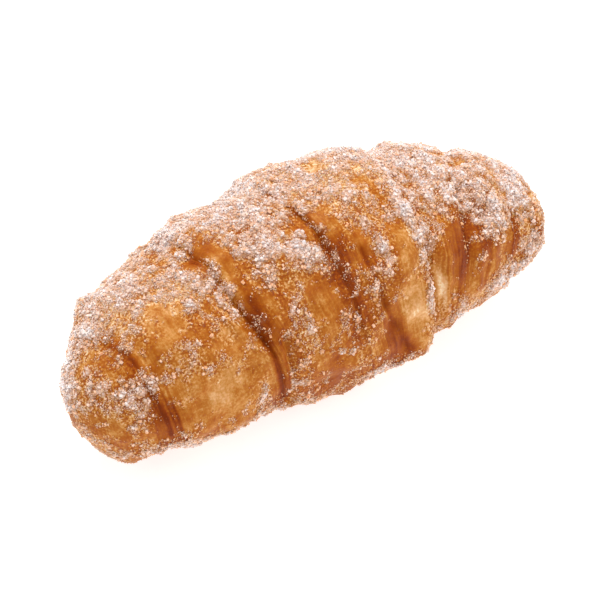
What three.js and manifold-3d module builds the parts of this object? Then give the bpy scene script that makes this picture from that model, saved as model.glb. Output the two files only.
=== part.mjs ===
// Filled fried pastry roll, coated with sugar: a straight croissant of seven wraps of dough.
// Millimetres, +Z up. X runs along the roll, the near tip is at -X, and the base lies on Z = 0.
import * as THREE from 'three';
import { mergeVertices } from 'three/addons/utils/BufferGeometryUtils.js';
import Module from 'manifold-3d';

// Driving dimensions of the roll
const LENGTH = 150;
const HALF = LENGTH / 2;
const BODY_RADIUS = 30.2;
const HEIGHT_SHARE = 0.96;
const CENTRE_HEIGHT_SHARE = 0.93;
// Each tip: share of the radius lost at the end, power of that taper, length of the round cap,
// and how far the end lifts off the surface that the roll lies on
const NEAR_TIP = { taper: 0.35, power: 2.1, cap: 29.5, lift: 6.6 };
const FAR_TIP = { taper: 0.47, power: 2.2, cap: 10, lift: 6.5 };
const CAP_POWER = 2.2;
// Sideways bow of the roll's centre line: an even part, a slant and an uneven part
const BOW = -4.8;
const SLANT = 1.3;
const TWIST = 1.9;

// Each wrap of dough from the near tip to the far one: how far it swells out, and how much
// its lower front sinks in towards the base
const WRAPS = [
  { swell: 1.1, tuck: 1.0, rows: 9 },
  { swell: -0.4, tuck: 1.7, rows: 10 },
  { swell: 0.9, tuck: 0.7, rows: 9 },
  { swell: 1.6, tuck: 0, rows: 6 },
  { swell: 0.4, tuck: 0.7, rows: 5 },
  { swell: -0.9, tuck: 0.5, rows: 7 },
  { swell: -0.8, tuck: 1.6, rows: 7 },
];
// Each edge between two wraps: its place at the base of the front, how far it slants while it
// goes over the top to the back, its S-bend, the lip's height in front and behind, how much of
// that height goes at the lower front, and the tip it faces, 1 for the near one
const EDGES = [
  { start: -51.6, slant: 19.2, bend: 0.8, front: 1.8, back: 3.0, fade: 0.2, faces: 1 },
  { start: -17.1, slant: 25.9, bend: 0, front: 2.4, back: 1.2, fade: 0.6, faces: 1 },
  { start: 10.6, slant: 26.1, bend: 2.0, front: 2.3, back: 1.3, fade: 1.0, faces: 1 },
  { start: 21.8, slant: 8.0, bend: 0, front: 3.4, back: 1.1, fade: 0, faces: -1 },
  { start: 32.5, slant: 27, bend: -3.5, front: 2.0, back: 1.2, fade: 0.3, faces: -1 },
  { start: 53.6, slant: 16.6, bend: -1.7, front: 1.7, back: 1.3, fade: 0.6, faces: -1 },
];
// A lip rounds off by this share of its height over this length, and hangs over its groove by
// another share. A groove's floor rises again over its width, and is steeper near the lip
const LIP_DROP_SHARE = 0.34;
const LIP_ROUND = 2.8;
const LIP_OVERHANG = 0.2;
const GROOVE_WIDTH = 6.5;
const GROOVE_POWER = 1.5;
// An edge wanders along the roll, and its lip is now higher and now lower, by these amounts
// and this many times round the roll
const EDGE_WANDER = 0.7;
const EDGE_WANDERS = 3;
const LIP_UNEVEN = 0.22;
const LIP_CHANGES = 4;
// Turns in degrees, from the base up the front: an edge slants from the first to the second,
// and goes back to its start under the roll, from the third over the length of the fourth
const SLANT_BEGINS = 25;
const SLANT_ENDS = 315;
const RETURN_BEGINS = 315;
const RETURN_LENGTH = 70;
// Shares of the slant between which the lip's height changes from front to back
const FRONT_ENDS = 0.15;
const BACK_BEGINS = 0.75;
// The lower front: the turn of its middle and its half width
const LOWER_FRONT = -50;
const LOWER_FRONT_WIDTH = 35;
// A lip fades out round this turn of the front, over this half width. The wraps on its two sides
// run into each other there, over this length
const FADE_MIDDLE = -30;
const FADE_WIDTH = 45;
const MERGE_LENGTH = 5;
// Rows of points up the wall of a lip, and points round the roll
const WALL_ROWS = 4;
const COLUMNS = 54;

// Bulges and hollows of the dough: place along the roll, turn in degrees round it from the
// front over the top, half width along and round, and height, negative for a hollow
const LUMPS = [
  { x: -61, turn: 142, along: 4.5, round: 9, height: 1.8 },
  { x: -58.5, turn: 139, along: 3, round: 5, height: 1.6 },
  { x: -51, turn: 142, along: 6, round: 9, height: -1.0 },
  { x: -71, turn: 168, along: 4, round: 8, height: 0.9 },
  { x: 22, turn: 118, along: 3, round: 5, height: 0.8 },
  { x: -33, turn: 145, along: 6, round: 9, height: -1.2 },
  { x: -12, turn: 135, along: 6.5, round: 10, height: -2.6 },
  { x: 13, turn: 134, along: 6, round: 9, height: -1.5 },
  { x: 47, turn: 117, along: 3.6, round: 8, height: -1.9 },
  { x: 61.5, turn: 118, along: 5.5, round: 9, height: 1.3 },
  { x: 72, turn: 48, along: 4.5, round: 9, height: 1.7 },
  { x: 70, turn: 0, along: 5, round: 9, height: 1.0 },
  { x: -67, turn: 158, along: 5, round: 8, height: -1.0 },
  { x: -67, turn: -62, along: 7, round: 10, height: 1.7 },
  { x: -34, turn: -32, along: 6, round: 8, height: 1.5 },
  { x: -18, turn: -47, along: 4, round: 7, height: -0.8 },
  { x: 1, turn: -47, along: 5, round: 8, height: 0.9 },
  { x: 20, turn: -26, along: 5.5, round: 9, height: 1.9 },
  { x: 43, turn: -45, along: 7, round: 8, height: 0.7 },
  { x: -9, turn: -43, along: 5, round: 8, height: 0.6 },
  { x: -56, turn: -54, along: 5, round: 8, height: -0.8 },
  { x: 60, turn: -24, along: 6, round: 9, height: -0.7 },
  { x: -26, turn: 140, along: 3, round: 7, height: 0.5 },
  { x: -55, turn: 68, along: 6, round: 7, height: 1.2 },
  { x: -33, turn: 93, along: 3, round: 4, height: -1.7 },
  { x: -28, turn: 42, along: 3.2, round: 8, height: -1.3 },
  { x: -61.7, turn: 86, along: 2.2, round: 2.6, height: -1.0 },
  { x: -16, turn: 62, along: 5, round: 6, height: 0.8 },
  { x: 3, turn: 30, along: 3, round: 8, height: -1.0 },
  { x: 60, turn: -60, along: 9, round: 16, height: -1.0 },
  { x: 67, turn: 54, along: 2, round: 2, height: -0.9 },
  { x: -40, turn: 190, along: 9, round: 10, height: 1.0 },
  { x: 4, turn: 205, along: 8, round: 9, height: 0.9 },
  { x: 44, turn: 160, along: 6, round: 7, height: 0.8 },
];
// Folds of the dough: both ends as place and turn, half width, and height, negative for a crease
const FOLDS = [
  { from: [12, 98], to: [14, 34], width: 2.6, height: 1.0 },
  { from: [5.8, 48], to: [8.2, 18], width: 1.1, height: -1.2 },
  { from: [8.2, 18], to: [14.3, -14], width: 1.1, height: -1.0 },
  { from: [-21.9, 24], to: [-20.6, -22], width: 1.0, height: -1.3 },
  { from: [-36, 56], to: [-27.3, 19], width: 1.0, height: 0.6 },
  { from: [-60.4, 34], to: [-58.8, -18], width: 1.1, height: -0.9 },
  { from: [31.7, 26], to: [29.5, -4], width: 1.3, height: 0.7 },
  { from: [49, 44], to: [45, 4], width: 1.6, height: -0.6 },
  { from: [64, 36], to: [65, 8], width: 1.0, height: -0.7 },
  { from: [-9, 228], to: [-14, 178], width: 1.6, height: -0.9 },
  { from: [22, 150], to: [25, 205], width: 1.8, height: 0.8 },
];
// Unevenness of the dough as waves of these lengths and heights, each a sum of this many. The
// lengths in a sum spread from the least share of the stated one up, and no two start alike
const RIPPLES = [
  { length: 22, height: 0.5, waves: 18 },
  { length: 9, height: 0.26, waves: 24 },
];

// Clumps of caked sugar: how many, how many of these are round and not square, how wide the
// first and the last are, their share of width in depth and in height, how deep their middle
// lies in the dough, how uneven they are and how far the square ones tip over
const CLUMPS = 112;
const ROUND_CLUMPS = 42;
const CLUMP_WIDEST = 3.4;
const CLUMP_NARROWEST = 2.2;
const CLUMP_DEPTH_SHARE = 0.78;
const CLUMP_HEIGHT_SHARE = 0.62;
const CLUMP_SUNK = 0.25;
const CLUMP_UNEVEN = 0.16;
const SQUARE_SHARE = 0.8;
const SQUARE_TIPS = 0.5;
const MOST_TRIALS = 4000;
// Sugar lies from this turn in front, over the top, to this turn behind
const SUGAR_FROM = -42;
const SUGAR_TO = 222;
const SUGAR_ENDS = 71;
// Share of sugar: the least one, at the lower front, and what the top has on top of it. It rises
// between the first two turns, up the front, and falls between the last two, down the back
const LEAST_SUGAR = 0.18;
const SUGAR_ON_TOP = 0.64;
const FRONT_RISE = [30, 125];
const BACK_FALL = [128, 205];
// A clump needs this share of sugar to form at all, and this much more to form everywhere
const CLUMPS_FROM = 0.32;
const CLUMPS_RANGE = 0.4;
// Bare stretches of dough and heavy patches of sugar: place, turn, half widths and how much they
// take from the share of sugar or add to it
const PATCHES = [
  { x: -70, turn: 98, along: 4, round: 8, amount: -0.38 },
  { x: -63, turn: 76, along: 5, round: 8, amount: -0.78 },
  { x: -60, turn: 164, along: 6, round: 8, amount: -0.3 },
  { x: -58, turn: 2, along: 3, round: 12, amount: -0.35 },
  { x: -55, turn: -24, along: 9, round: 5, amount: 0.45 },
  { x: -54, turn: 58, along: 4.5, round: 6, amount: -0.45 },
  { x: -43, turn: -30, along: 9, round: 4, amount: 0.4 },
  { x: -42, turn: 12, along: 11, round: 13, amount: -0.5 },
  { x: -41, turn: 110, along: 4, round: 6, amount: -0.55 },
  { x: -40, turn: -9, along: 9, round: 7, amount: -0.25 },
  { x: -33.4, turn: 88, along: 3.6, round: 4.4, amount: -1.1 },
  { x: -30, turn: 152, along: 7, round: 9, amount: -0.35 },
  { x: -28.8, turn: 88, along: 3.4, round: 10, amount: -0.95 },
  { x: -25, turn: 10, along: 4, round: 16, amount: -0.45 },
  { x: -14, turn: 94, along: 5, round: 7, amount: 0.4 },
  { x: -9, turn: -13, along: 6, round: 6, amount: -0.45 },
  { x: -8, turn: 58, along: 5, round: 5, amount: 0.95 },
  { x: -7, turn: 30, along: 6, round: 10, amount: -0.4 },
  { x: 0, turn: 78, along: 4, round: 9, amount: -0.42 },
  { x: 6, turn: 160, along: 8, round: 9, amount: -0.35 },
  { x: 9, turn: -11, along: 5, round: 8, amount: -0.3 },
  { x: 12, turn: -26, along: 9, round: 5, amount: 0.7 },
  { x: 12, turn: -8, along: 5, round: 12, amount: -0.45 },
  { x: 19, turn: 6, along: 3.6, round: 14, amount: -0.55 },
  { x: 20, turn: 88, along: 4.4, round: 7, amount: -0.75 },
  { x: 22, turn: 112, along: 6, round: 6, amount: 0.55 },
  { x: 23.4, turn: 28, along: 1.5, round: 20, amount: 0.4 },
  { x: 24, turn: 64, along: 2.4, round: 12, amount: 0.45 },
  { x: 30, turn: 76, along: 4, round: 9, amount: 0.35 },
  { x: 36, turn: 22, along: 4.5, round: 14, amount: -0.45 },
  { x: 37, turn: 80, along: 4, round: 8, amount: 0.4 },
  { x: 38, turn: -20, along: 5, round: 5, amount: 0.5 },
  { x: 38, turn: 150, along: 6, round: 9, amount: -0.3 },
  { x: 41, turn: 2, along: 4, round: 9, amount: -0.4 },
  { x: 46, turn: 16, along: 4, round: 10, amount: -0.35 },
  { x: 48, turn: 64, along: 3.6, round: 8, amount: 0.52 },
  { x: 58, turn: 13, along: 5, round: 5, amount: -0.6 },
  { x: 58, turn: -14, along: 8, round: 5, amount: 0.5 },
  { x: 60, turn: 160, along: 5, round: 8, amount: -0.3 },
  { x: 65, turn: 64, along: 3.6, round: 7, amount: 0.65 },
];

// Waves of the unevenness: the shortest, as a share of the stated length, how far the lengths
// spread above it, and the step between the points where they start
const LEAST_WAVE = 0.7;
const WAVE_SPREAD = 0.6;
const WAVE_START = 2.4;

const GOLDEN_ANGLE = Math.PI * (3 - Math.sqrt(5));
const GOLDEN_SHARE = (Math.sqrt(5) - 1) / 2;
const DEGREE = Math.PI / 180;

function clamp(value) {
  return Math.min(1, Math.max(0, value));
}

function smooth(value) {
  const t = clamp(value);
  return t * t * (3 - 2 * t);
}

// Difference of two turns in degrees, between -180 and 180
function turnBetween(a, b) {
  return ((((a - b + 180) % 360) + 360) % 360) - 180;
}

// Share of its slant that an edge has gone through: from the base at the front over the top
// to the base at the back, and back to its start under the roll
function windingShare(turn) {
  const fromBase = (((turn + 90) % 360) + 360) % 360;
  const underRoll = (fromBase - RETURN_BEGINS + 360) % 360;
  if (underRoll <= RETURN_LENGTH) return 1 - smooth(underRoll / RETURN_LENGTH);
  return clamp((fromBase - SLANT_BEGINS) / (SLANT_ENDS - SLANT_BEGINS));
}

// How much a turn belongs to the lower front, where the roll curls in to its base
function lowerFront(turn) {
  return Math.exp(-((turnBetween(turn, LOWER_FRONT) / LOWER_FRONT_WIDTH) ** 2));
}

// How much of an edge has faded out at a turn
function fadedShare(edge, turn) {
  return edge.fade * Math.exp(-((turnBetween(turn, FADE_MIDDLE) / FADE_WIDTH) ** 2));
}

// How far a wrap stands out from the body at a turn
function swellAt(wrap, turn) {
  return wrap.swell - wrap.tuck * lowerFront(turn);
}

function tipOf(x) {
  return x < 0 ? NEAR_TIP : FAR_TIP;
}

function bodyRadius(x) {
  const tip = tipOf(x);
  return BODY_RADIUS * (1 - tip.taper * Math.abs(x / HALF) ** tip.power);
}

// Share of the radius left where a tip closes
function capShare(x) {
  const into = clamp((Math.abs(x) - (HALF - tipOf(x).cap)) / tipOf(x).cap);
  return Math.sqrt(Math.max(0, 1 - into ** CAP_POWER));
}

function edgePlace(edge, turn) {
  const share = windingShare(turn);
  const bend = edge.bend * Math.sin(2 * Math.PI * share);
  const phase = EDGE_WANDERS * turn * DEGREE + edge.start;
  const wander = EDGE_WANDER * Math.sin(phase) * Math.sin(Math.PI * share);
  return edge.start - edge.faces * (edge.slant * share + bend) + wander;
}

function lipHeight(edge, turn) {
  const behind = smooth((windingShare(turn) - FRONT_ENDS) / (BACK_BEGINS - FRONT_ENDS));
  const height = edge.front + (edge.back - edge.front) * behind;
  const uneven = 1 + LIP_UNEVEN * Math.sin(LIP_CHANGES * turn * DEGREE + 2 * edge.start);
  return height * uneven * (1 - fadedShare(edge, turn));
}

function lumpHeight(x, turn) {
  let height = 0;
  for (const lump of LUMPS) {
    const across = (turnBetween(turn, lump.turn) * DEGREE * bodyRadius(lump.x)) / lump.round;
    height += lump.height * Math.exp(-(((x - lump.x) / lump.along) ** 2) - across ** 2);
  }
  return height;
}

// A fold's height falls off with the distance from the line between its ends
function foldHeight(x, turn) {
  let height = 0;
  for (const fold of FOLDS) {
    const radius = bodyRadius(fold.from[0]);
    const endX = fold.to[0] - fold.from[0];
    const endY = (fold.to[1] - fold.from[1]) * DEGREE * radius;
    const pointX = x - fold.from[0];
    const pointY = turnBetween(turn, fold.from[1]) * DEGREE * radius;
    const length = Math.hypot(endX, endY);
    const along = (pointX * endX + pointY * endY) / length;
    const across = (pointX * endY - pointY * endX) / length;
    const beyond = Math.max(0, -along, along - length);
    height += fold.height * Math.exp(-((across / fold.width) ** 2) - (beyond / (2 * fold.width)) ** 2);
  }
  return height;
}

// Unevenness at a point: plane waves whose directions are spread evenly by the golden angle
function rippleHeight(point) {
  let height = 0;
  for (const ripple of RIPPLES) {
    let sum = 0;
    for (let i = 0; i < ripple.waves; i += 1) {
      const up = 1 - (2 * i + 1) / ripple.waves;
      const level = Math.sqrt(1 - up * up);
      const heading = i * GOLDEN_ANGLE;
      const along = level * (point.x * Math.cos(heading) + point.y * Math.sin(heading)) + point.z * up;
      const length = ripple.length * (LEAST_WAVE + WAVE_SPREAD * ((i * GOLDEN_SHARE) % 1));
      sum += Math.sin((2 * Math.PI * along) / length + WAVE_START * i * i);
    }
    height += (ripple.height * sum) / Math.sqrt(ripple.waves / 2);
  }
  return height;
}

function place(x, radius, turn) {
  const t = x / HALF;
  const centreY = BOW * t * t + SLANT * t + TWIST * t ** 3;
  const centreZ = bodyRadius(x) * HEIGHT_SHARE * CENTRE_HEIGHT_SHARE + tipOf(x).lift * Math.abs(t) ** 3;
  const y = centreY - radius * Math.cos(turn * DEGREE);
  const z = centreZ + radius * HEIGHT_SHARE * Math.sin(turn * DEGREE);
  return new THREE.Vector3(x, y, z);
}

// Radius of a wrap: it rounds off to its own lip, dips under the lip of a neighbour, and runs
// into the neighbour where the edge between them has faded out
function wrapRadius(index, x, turn, nearEdge, farEdge) {
  const swell = swellAt(WRAPS[index], turn);
  let radius = bodyRadius(x) + swell;
  const sides = [
    { edge: EDGES[index - 1], neighbour: WRAPS[index - 1], distance: x - nearEdge, ownLip: 1 },
    { edge: EDGES[index], neighbour: WRAPS[index + 1], distance: farEdge - x, ownLip: -1 },
  ];
  for (const { edge, neighbour, distance, ownLip } of sides) {
    if (!edge) continue;
    const t = Math.max(0, distance);
    const lip = lipHeight(edge, turn);
    if (edge.faces === ownLip) radius -= LIP_DROP_SHARE * lip * Math.exp(-t / LIP_ROUND);
    else radius -= lip * Math.exp(-((t / GROOVE_WIDTH) ** GROOVE_POWER));
    const merged = (fadedShare(edge, turn) * Math.exp(-t / MERGE_LENGTH)) / 2;
    radius += (swellAt(neighbour, turn) - swell) * merged;
  }
  return radius * capShare(x);
}

function edgesAt(turn) {
  return [-HALF, ...EDGES.map((edge) => edgePlace(edge, turn)), HALF];
}

// The dough's skin at a place and turn, with its lumps, folds and ripples
function skinPoint(x, turn, radius) {
  const base = place(x, radius, turn);
  const relief = lumpHeight(x, turn) + foldHeight(x, turn) + rippleHeight(base);
  return place(x, radius + relief * capShare(x), turn);
}

// One ring of points round the roll for each row: rows of a wrap lie between its edges, and
// rows of a wall follow a half ellipse from the groove's floor up to the lip
function ringPoints() {
  const rings = [];
  for (let index = 0; index < WRAPS.length; index += 1) {
    const count = WRAPS[index].rows;
    const first = index === 0;
    const last = index === WRAPS.length - 1;
    for (let row = 0; row < count; row += 1) {
      let share = row / (count - 1);
      if (first) share = 1 - Math.cos(((Math.PI / 2) * (row + 1)) / count);
      if (last) share = Math.sin(((Math.PI / 2) * row) / count);
      rings.push((turn) => {
        const edges = edgesAt(turn);
        const x = edges[index] + (edges[index + 1] - edges[index]) * share;
        return skinPoint(x, turn, wrapRadius(index, x, turn, edges[index], edges[index + 1]));
      });
    }
    if (last) continue;
    const { faces } = EDGES[index];
    for (let row = 1; row < WALL_ROWS; row += 1) {
      const angle = faces * Math.PI * (row / WALL_ROWS - 0.5);
      rings.push((turn) => {
        const edges = edgesAt(turn);
        const x = edges[index + 1];
        const near = wrapRadius(index, x, turn, edges[index], x);
        const far = wrapRadius(index + 1, x, turn, x, edges[index + 2]);
        const half = Math.abs(far - near) / 2;
        const overhang = faces * LIP_OVERHANG * 2 * half * Math.cos(angle);
        return skinPoint(x - overhang, turn, (near + far) / 2 + half * Math.sin(angle));
      });
    }
  }
  return rings;
}

function doughGeometry() {
  const rings = ringPoints();
  const positions = [];
  for (const ring of rings) {
    for (let column = 0; column < COLUMNS; column += 1) {
      positions.push(...ring((360 * column) / COLUMNS).toArray());
    }
  }
  const nearPole = positions.length / 3;
  positions.push(...place(-HALF, 0, 0).toArray());
  const farPole = nearPole + 1;
  positions.push(...place(HALF, 0, 0).toArray());
  const indices = [];
  const lastRing = (rings.length - 1) * COLUMNS;
  for (let column = 0; column < COLUMNS; column += 1) {
    const next = (column + 1) % COLUMNS;
    indices.push(nearPole, column, next);
    for (let start = 0; start < lastRing; start += COLUMNS) {
      const above = start + COLUMNS;
      indices.push(start + column, above + next, start + next);
      indices.push(start + column, above + column, above + next);
    }
    indices.push(farPole, lastRing + next, lastRing + column);
  }
  const geometry = new THREE.BufferGeometry();
  geometry.setAttribute('position', new THREE.Float32BufferAttribute(positions, 3));
  geometry.setIndex(indices);
  return geometry;
}

// Fractions that fill 0 to 1 evenly, the same each time
function halton(index, base) {
  let result = 0;
  let share = 1 / base;
  for (let rest = index; rest > 0; rest = Math.floor(rest / base)) {
    result += share * (rest % base);
    share /= base;
  }
  return result;
}

function surfaceAt(x, turn) {
  const edges = edgesAt(turn);
  const index = Math.min(WRAPS.length - 1, edges.filter((edge) => edge < x).length - 1);
  return skinPoint(x, turn, wrapRadius(index, x, turn, edges[index], edges[index + 1]));
}

// Outward direction of the dough's skin, from its slope over a few millimetres
function normalAt(x, turn) {
  const stepX = 1.5;
  const stepTurn = 3;
  const along = surfaceAt(x + stepX, turn).sub(surfaceAt(x - stepX, turn));
  const round = surfaceAt(x, turn + stepTurn).sub(surfaceAt(x, turn - stepTurn));
  return new THREE.Vector3().crossVectors(along, round).normalize();
}

function sugarShare(x, turn) {
  const [riseFrom, riseTo] = FRONT_RISE;
  const [fallFrom, fallTo] = BACK_FALL;
  const risen = smooth((turn - riseFrom) / (riseTo - riseFrom));
  const fallen = smooth((turn - fallFrom) / (fallTo - fallFrom));
  let share = LEAST_SUGAR + SUGAR_ON_TOP * risen * (1 - fallen);
  for (const patch of PATCHES) {
    const across = (turnBetween(turn, patch.turn) * DEGREE * bodyRadius(patch.x)) / patch.round;
    share += patch.amount * Math.exp(-(((x - patch.x) / patch.along) ** 2) - across ** 2);
  }
  return share;
}

// Chance of a clump: it rises with the share of sugar, and is less where the roll is slimmer
function clumpChance(x, turn) {
  const chance = smooth((sugarShare(x, turn) - CLUMPS_FROM) / CLUMPS_RANGE);
  return (chance * bodyRadius(x)) / BODY_RADIUS;
}

// One clump: an uneven block, flatter than wide and partly sunk in the dough. The first and
// largest have twenty sides, and the others are square and tipped
function clumpGeometry(order, x, turn) {
  const shrink = order / CLUMPS;
  const width = CLUMP_WIDEST + (CLUMP_NARROWEST - CLUMP_WIDEST) * shrink;
  const isRound = order < ROUND_CLUMPS;
  const side = width * SQUARE_SHARE;
  const geometry = isRound
    ? new THREE.IcosahedronGeometry(width / 2, 0)
    : new THREE.BoxGeometry(side, side, side);
  geometry.deleteAttribute('normal');
  geometry.deleteAttribute('uv');
  const merged = mergeVertices(geometry);
  const corners = merged.getAttribute('position');
  for (let i = 0; i < corners.count; i += 1) {
    const uneven = 1 + CLUMP_UNEVEN * Math.sin(WAVE_START * i + order);
    corners.setXYZ(i, corners.getX(i) * uneven, corners.getY(i) * uneven, corners.getZ(i) * uneven);
  }
  merged.scale(1, CLUMP_DEPTH_SHARE, CLUMP_HEIGHT_SHARE);
  if (!isRound) merged.rotateX(SQUARE_TIPS * Math.sin(order));
  merged.rotateZ(order * GOLDEN_ANGLE);
  const normal = normalAt(x, turn);
  const upright = new THREE.Quaternion().setFromUnitVectors(new THREE.Vector3(0, 0, 1), normal);
  merged.applyQuaternion(upright);
  const middle = surfaceAt(x, turn).addScaledVector(normal, -CLUMP_SUNK);
  merged.translate(middle.x, middle.y, middle.z);
  return merged;
}

// Largest first: an even spread over the roll, thinned by the chance of a clump. No clump lies
// closer than its width to another or to a wrap's edge, or on a fold
function clumpGeometries() {
  const clumps = [];
  const middles = [];
  for (let trial = 1; clumps.length < CLUMPS && trial < MOST_TRIALS; trial += 1) {
    const x = SUGAR_ENDS * (2 * halton(trial, 2) - 1);
    const turn = SUGAR_FROM + (SUGAR_TO - SUGAR_FROM) * halton(trial, 3);
    const point = surfaceAt(x, turn);
    const onEdge = edgesAt(turn).some((edge) => Math.abs(edge - x) < CLUMP_WIDEST);
    const crowded = middles.some((other) => other.distanceTo(point) < CLUMP_WIDEST);
    const onFold = Math.abs(foldHeight(x, turn)) > CLUMP_SUNK;
    if (onEdge || onFold || crowded || halton(trial, 5) > clumpChance(x, turn)) continue;
    middles.push(point);
    clumps.push(clumpGeometry(clumps.length, x, turn));
  }
  return clumps;
}

const wasm = await Module();
wasm.setup();

function solidOf(geometry) {
  return new wasm.Manifold(
    new wasm.Mesh({
      numProp: 3,
      vertProperties: new Float32Array(geometry.getAttribute('position').array),
      triVerts: new Uint32Array(geometry.getIndex().array),
    }),
  );
}

function geometryOf(solid) {
  const mesh = solid.getMesh();
  const geometry = new THREE.BufferGeometry();
  geometry.setAttribute('position', new THREE.BufferAttribute(mesh.vertProperties, 3));
  geometry.setIndex(new THREE.BufferAttribute(mesh.triVerts, 1));
  return geometry;
}

// The surface that the roll lies on cuts its base flat
function cutBelow() {
  const depth = 20;
  const box = new THREE.BoxGeometry(LENGTH + depth, LENGTH, depth);
  box.deleteAttribute('normal');
  box.deleteAttribute('uv');
  box.translate(0, 0, -depth / 2);
  return solidOf(mergeVertices(box));
}

let roll = solidOf(doughGeometry());
for (const clump of clumpGeometries()) roll = roll.add(solidOf(clump));
roll = roll.subtract(cutBelow());

const geometry = geometryOf(roll);
geometry.computeBoundingBox();
const middle = geometry.boundingBox.getCenter(new THREE.Vector3());
geometry.translate(-middle.x, -middle.y, 0);

const friedDough = new THREE.MeshStandardMaterial({ color: '#cf8f4c', roughness: 0.55, metalness: 0 });
const pastry = new THREE.Mesh(geometry, friedDough);
pastry.name = 'pastry';

const group = new THREE.Group();
group.add(pastry);
export default group;
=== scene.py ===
"""A filled fried pastry roll: seven wraps of layered dough, like a straight croissant, fried and
coated with sugar. It lies on its flattened base on a pale studio floor."""
import math

import bpy
import numpy as np
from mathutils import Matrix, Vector


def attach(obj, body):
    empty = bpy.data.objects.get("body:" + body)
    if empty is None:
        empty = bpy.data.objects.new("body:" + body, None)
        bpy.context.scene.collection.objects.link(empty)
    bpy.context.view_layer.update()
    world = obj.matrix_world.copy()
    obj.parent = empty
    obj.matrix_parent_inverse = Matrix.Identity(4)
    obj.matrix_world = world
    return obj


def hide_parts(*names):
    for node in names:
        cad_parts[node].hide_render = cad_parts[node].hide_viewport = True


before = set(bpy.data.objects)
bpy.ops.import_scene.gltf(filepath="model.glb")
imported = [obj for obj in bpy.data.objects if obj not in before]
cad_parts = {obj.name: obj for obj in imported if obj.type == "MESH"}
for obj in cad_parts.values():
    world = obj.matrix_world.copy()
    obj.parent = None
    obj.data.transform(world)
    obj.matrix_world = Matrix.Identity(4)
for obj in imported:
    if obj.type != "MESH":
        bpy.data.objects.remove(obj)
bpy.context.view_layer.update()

# Fried dough
# The roll is one strip of layered yeast dough, wound into seven wraps, proofed and deep-fried.
# Each wrap laps over its neighbour with a soft lip. The skin is golden, browner in the grooves
# and darker there still by painted shade, and pale where a fold kept the fat away; its top and
# far tip are paler by painted light. All sizes here are millimetres, and a turn is the
# angle round the roll in degrees: 0 at the front, 90 on top, 180 at the back, -90 at the base.
MM = 0.001
# Half the length and the greatest radius, then the height as a share of the width, and how high
# the centre line runs, as a share of half the height: that flattens the base
HALF, BODY_RADIUS = 75.0, 30.2
HEIGHT_SHARE, CENTRE_HEIGHT_SHARE = 0.96, 0.93
# Near tip (-X) and far tip: radius lost at the end, power of that taper, length of the round
# cap, and how far the end lifts off the floor
TIP_TAPER = (0.35, 0.47)
TIP_POWER = (2.1, 2.2)
TIP_CAP = (29.5, 10.0)
TIP_LIFT = (6.6, 6.5)
CAP_POWER = 2.2
# How the centre line bends from front to back, by the square, first and third power of x
BOW, SLANT, TWIST = -4.8, 1.3, 1.9
# How far the roll's own axis lies behind the middle of its box
AXIS_BACK = -0.341
# Each wrap from the near tip: how far it swells out, how far its lower front sinks in, and the
# rows of points along it
SWELL = np.array((1.1, -0.4, 0.9, 1.6, 0.4, -0.9, -0.8))
TUCK = np.array((1.0, 1.7, 0.7, 0.0, 0.7, 0.5, 1.6))
ROWS = (46, 58, 53, 44, 34, 36, 38)
# Each edge between two wraps: place at the base of the front, slant over the top, S-bend, lip
# height in front and behind, share of it lost at the lower front, and 1 if it faces the near tip
EDGES = np.array((
    (-51.6, 19.2, 0.8, 1.8, 3.0, 0.20, 1),
    (-17.1, 25.9, 0.0, 2.4, 1.2, 0.60, 1),
    (10.6, 26.1, 2.0, 2.3, 1.3, 1.00, 1),
    (21.8, 8.0, 0.0, 3.4, 1.1, 0.00, -1),
    (32.5, 27.0, -3.5, 2.0, 1.2, 0.30, -1),
    (53.6, 16.6, -1.7, 1.7, 1.3, 0.60, -1),
))
# Share of its height that a lip's rim is rounded off by, over what length, and its overhang
LIP_DROP_SHARE, LIP_ROUND, LIP_OVERHANG = 0.34, 2.8, 0.2
# How far each step up to a lip is drawn out along the roll, and the share of that on the lip
STEP_SOFT = (1.7, 1.5, 1.2, 0.3, 0.9, 0.8)
STEP_ON_LIP = 0.5
GROOVE_WIDTH, GROOVE_POWER = 6.5, 1.5
# How far an edge wanders, how uneven its lip is, and how often either changes round the roll
EDGE_WANDER, EDGE_WANDERS = 0.7, 3
LIP_UNEVEN, LIP_CHANGES = 0.22, 4
# Degrees from the base over which edges slant and go back, and shares of the slant between
# which a lip's height changes from its front to its back value
SLANT_BEGINS, SLANT_ENDS, RETURN_BEGINS, RETURN_LENGTH = 25, 315, 315, 70
FRONT_ENDS, BACK_BEGINS = 0.15, 0.75
LOWER_FRONT, LOWER_FRONT_WIDTH = -50, 35
# A lip fades out round this turn, where its two wraps run into each other
FADE_MIDDLE, FADE_WIDTH, MERGE_LENGTH = -30, 45, 5
# Rows of points up each step, and points round the roll
WALL_ROWS, COLUMNS = 9, 276
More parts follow.
